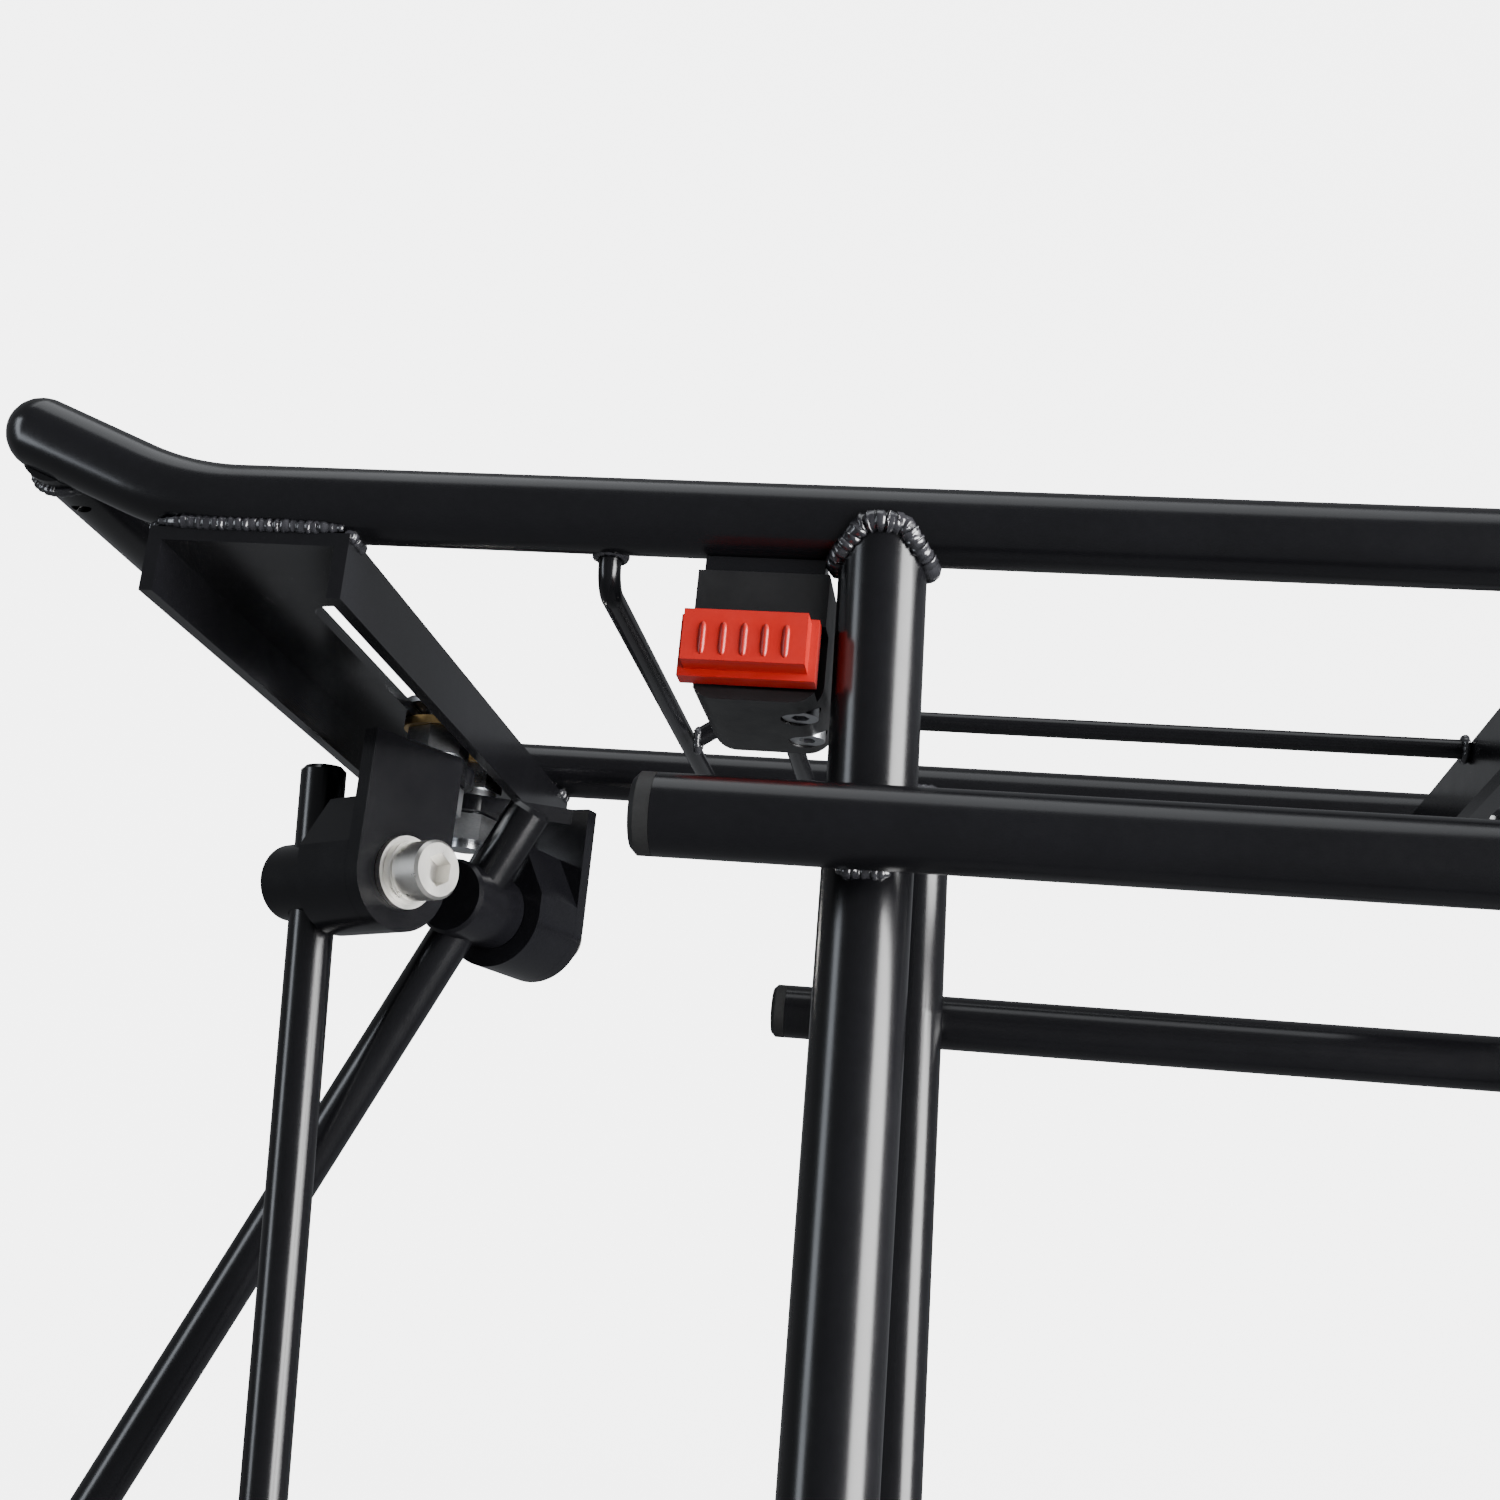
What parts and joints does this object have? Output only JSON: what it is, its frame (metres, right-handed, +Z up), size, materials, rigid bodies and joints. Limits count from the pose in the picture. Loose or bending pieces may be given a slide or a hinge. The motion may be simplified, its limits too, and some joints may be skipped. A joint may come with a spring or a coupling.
{
  "type": "bicycle rear rack",
  "caption": "Rear rack for a bicycle: rod platform with a raised front hoop, lower bag rails, four legs, swivelling stay clamps in a slotted channel and a push-button latch.",
  "frame": {"origin": "on the common axis of the two lower dropout holes, midway between the feet", "axes": "+X to the rear of the bicycle, +Y to its right side along the dropout axis, +Z up"},
  "size_m": [0.4009, 0.174, 0.3689],
  "materials": {
    "frame_black": "satin black powder coat",
    "clamp_black": "semi-gloss black coat",
    "plug_plastic": "matt black moulded plastic",
    "housing_plastic": "black moulded plastic",
    "button_red": "red moulded plastic",
    "stainless": "bright stainless steel",
    "plated_steel": "zinc-plated steel",
    "brass": "yellow-passivated",
    "nylon_blue": "blue nylon"
  },
  "bodies": {
    "frame": {"left_rail": "frame_black", "right_rail": "frame_black", "front_cross_tube": "frame_black", "rear_cross_tube": "frame_black", "front_channel": "frame_black", "rear_channel": "frame_black", "front_wire": "frame_black", "rear_wire": "frame_black", "spine_wire": "frame_black", "left_bag_rail": "frame_black", "right_bag_rail": "frame_black", "rail_plugs": "plug_plastic", "left_front_leg": "frame_black", "right_front_leg": "frame_black", "left_rear_leg": "frame_black", "right_rear_leg": "frame_black", "left_foot": "frame_black", "right_foot": "frame_black", "light_plate": "frame_black", "latch_bracket": "frame_black", "latch_housing": "housing_plastic", "latch_spring": "plated_steel", "latch_screws": "plated_steel"},
    "left_carriage": {"left_pivot_bolt": "plated_steel", "left_pivot_washer": "brass", "left_pivot_nut": "plated_steel", "left_nut_ring": "nylon_blue", "left_lock_nut": "plated_steel"},
    "left_clamp": {"left_tongue": "clamp_black", "left_collar": "clamp_black", "left_clamp_bolt": "stainless", "left_spring_washer": "stainless", "left_flat_washer": "stainless"},
    "left_barrel": {"left_barrel": "clamp_black"},
    "left_stay": {"left_stay": "frame_black"},
    "right_carriage": {"right_pivot_bolt": "plated_steel", "right_pivot_washer": "brass", "right_pivot_nut": "plated_steel", "right_nut_ring": "nylon_blue", "right_lock_nut": "plated_steel"},
    "right_clamp": {"right_tongue": "clamp_black", "right_collar": "clamp_black", "right_clamp_bolt": "stainless", "right_spring_washer": "stainless", "right_flat_washer": "stainless"},
    "right_barrel": {"right_barrel": "clamp_black"},
    "right_stay": {"right_stay": "frame_black"},
    "latch": {"latch_button": "button_red", "latch_slide": "clamp_black"}
  },
  "joints": [
    {"name": "left_slot_slide", "type": "slide", "parent": "frame", "child": "left_carriage", "axis": [0, 1, 0], "range_m": [-0.045, 0]},
    {"name": "left_clamp_swivel", "type": "hinge", "parent": "left_carriage", "child": "left_clamp", "pos_m": [-0.0935, 0.013, 0.3065], "axis": [0, 0, 1], "range_deg": [-12, 12]},
    {"name": "left_barrel_turn", "type": "hinge", "parent": "left_clamp", "child": "left_barrel", "pos_m": [-0.11113, 0.00918, 0.3065], "axis": [0.8554, -0.518, 0], "range_deg": [-12, 5]},
    {"name": "left_stay_slide", "type": "slide", "parent": "left_barrel", "child": "left_stay", "axis": [0.047, 0.0775, -0.9959], "range_m": [-0.002, 0.01]},
    {"name": "right_slot_slide", "type": "slide", "parent": "frame", "child": "right_carriage", "axis": [0, 1, 0], "range_m": [0, 0.005]},
    {"name": "right_clamp_swivel", "type": "hinge", "parent": "right_carriage", "child": "right_clamp", "pos_m": [-0.0935, 0.037, 0.3065], "axis": [0, 0, 1], "range_deg": [0, 25]},
    {"name": "right_barrel_turn", "type": "hinge", "parent": "right_clamp", "child": "right_barrel", "pos_m": [-0.08575, 0.02071, 0.3065], "axis": [0.309, 0.9511, 0], "range_deg": [-10, 8]},
    {"name": "right_stay_slide", "type": "slide", "parent": "right_barrel", "child": "right_stay", "axis": [-0.4755, 0.1545, -0.866], "range_m": [-0.004, 0.01]},
    {"name": "latch_press", "type": "slide", "parent": "frame", "child": "latch", "axis": [0, 1, 0], "range_m": [0, 0.004], "stiffness_N_per_m": 600, "springref_m": -0.004, "deforming": ["latch_spring"]}
  ]
}
